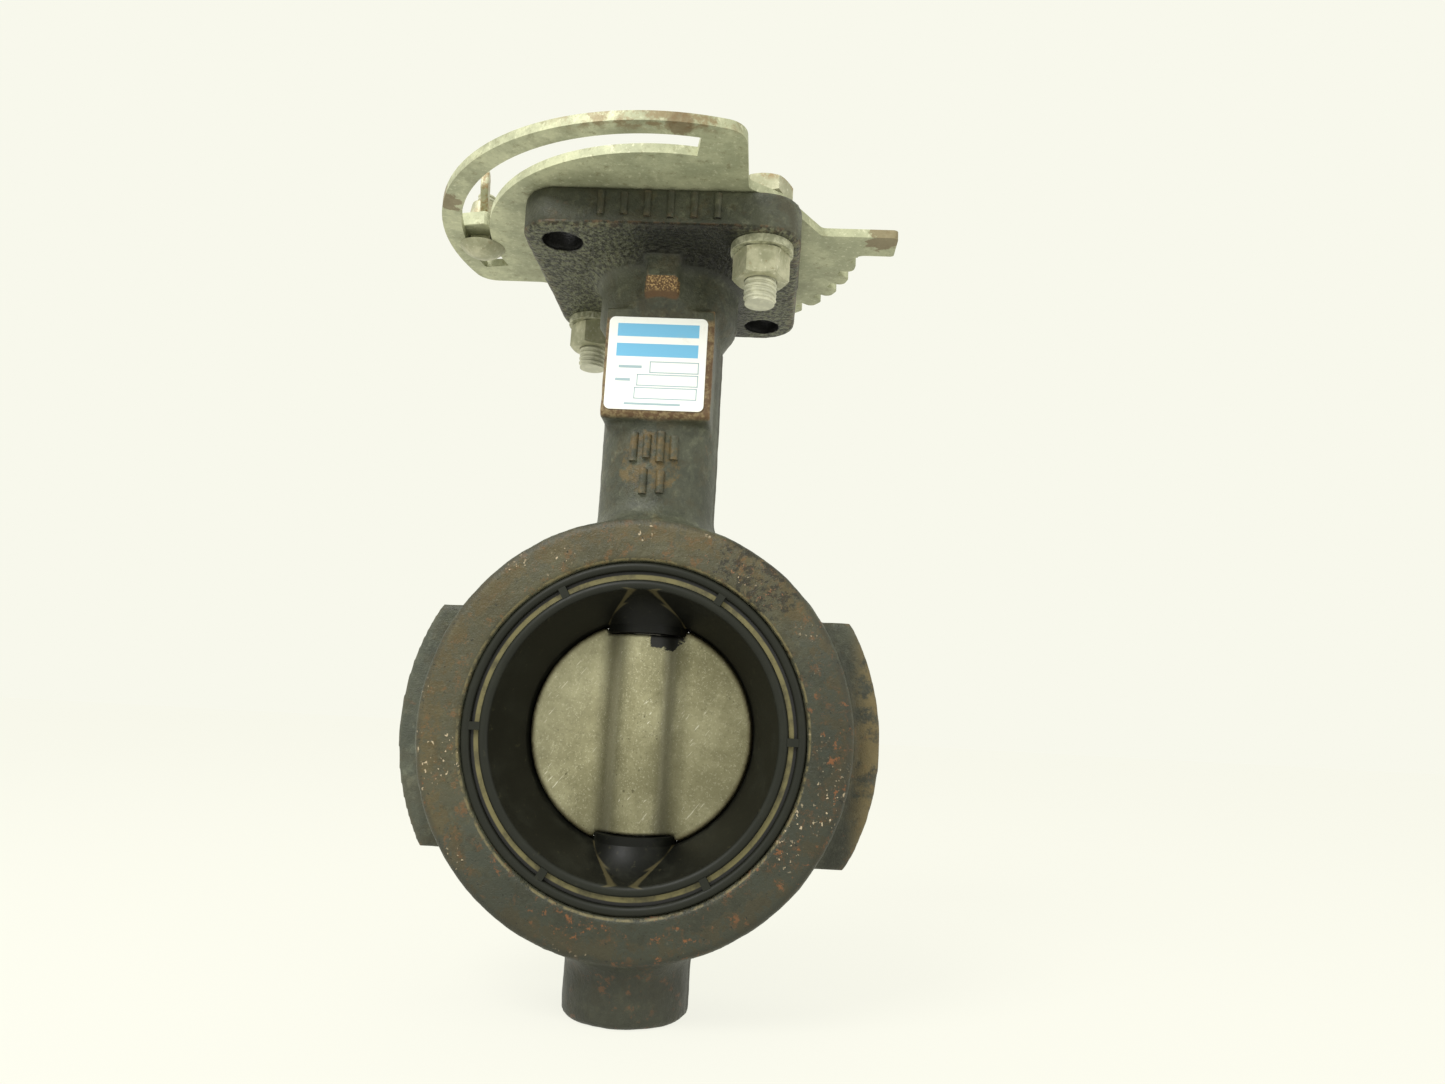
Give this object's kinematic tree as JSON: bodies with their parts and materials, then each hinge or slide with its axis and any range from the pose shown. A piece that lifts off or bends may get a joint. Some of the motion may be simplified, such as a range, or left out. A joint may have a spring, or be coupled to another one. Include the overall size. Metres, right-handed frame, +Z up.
{
  "type": "butterfly valve",
  "caption": "Wafer butterfly valve with a rubber-lined ring body, closed disc, long neck, square top flange and a notched throttling plate with a memory stop.",
  "frame": {"origin": "centre of the bore, on the stem's axis, midway between the two pipe faces", "axes": "+Z up along the stem towards the top flange, Y along the pipe, X across it; the notch plate's slotted arm is on the -X, -Y side"},
  "size_m": [0.1422, 0.1311, 0.2573],
  "materials": {
    "cast_iron": "rough sand casting, dark with patches of rust",
    "liner_rubber": "black moulded rubber, satin",
    "backing_ring": "dull khaki moulded resin",
    "disc_metal": "cast and turned, dull warm silver",
    "stem_steel": "turned stainless steel",
    "seal_rubber": "black rubber",
    "bushing_bronze": "sintered bronze, dull",
    "plate_galvanised": "zinc-coated steel sheet, dull grey green",
    "bolt_zinc": "zinc-plated steel, dull",
    "label_white": "white printed plate"
  },
  "bodies": {
    "valve_body": {"body": "cast_iron", "seat_liner": "liner_rubber", "seat_backing_ring": "backing_ring", "upper_bushing": "bushing_bronze", "lower_bushing": "bushing_bronze", "collar_bushing": "bushing_bronze", "stem_seal": "seal_rubber", "body_seal": "seal_rubber", "notch_plate": "plate_galvanised", "plate_bolt_front": "bolt_zinc", "plate_bolt_rear": "bolt_zinc", "lock_washer_front": "bolt_zinc", "lock_washer_rear": "bolt_zinc", "plate_nut_front": "bolt_zinc", "plate_nut_rear": "bolt_zinc", "nameplate": "label_white"},
    "disc_and_stem": {"disc": "disc_metal", "upper_stem": "stem_steel", "lower_stem": "stem_steel", "disc_seal_upper": "seal_rubber", "disc_seal_lower": "seal_rubber"},
    "memory_stop": {"stop_bolt": "bolt_zinc", "stop_block": "plate_galvanised"},
    "stop_wing_nut": {"wing_nut": "bolt_zinc"}
  },
  "joints": [
    {"name": "stem_turn", "type": "hinge", "parent": "valve_body", "child": "disc_and_stem", "pos_m": [0, 0, 0], "axis": [0, 0, 1], "range_deg": [0, 90]},
    {"name": "stop_slide", "type": "hinge", "parent": "valve_body", "child": "memory_stop", "pos_m": [0, 0, 0], "axis": [0, 0, 1], "range_deg": [-8.8, 96.8]},
    {"name": "wing_nut_turn", "type": "hinge", "parent": "memory_stop", "child": "stop_wing_nut", "pos_m": [-0.06199, -0.00097, 0], "axis": [0, 0, 1], "range_deg": [0, 360]}
  ]
}
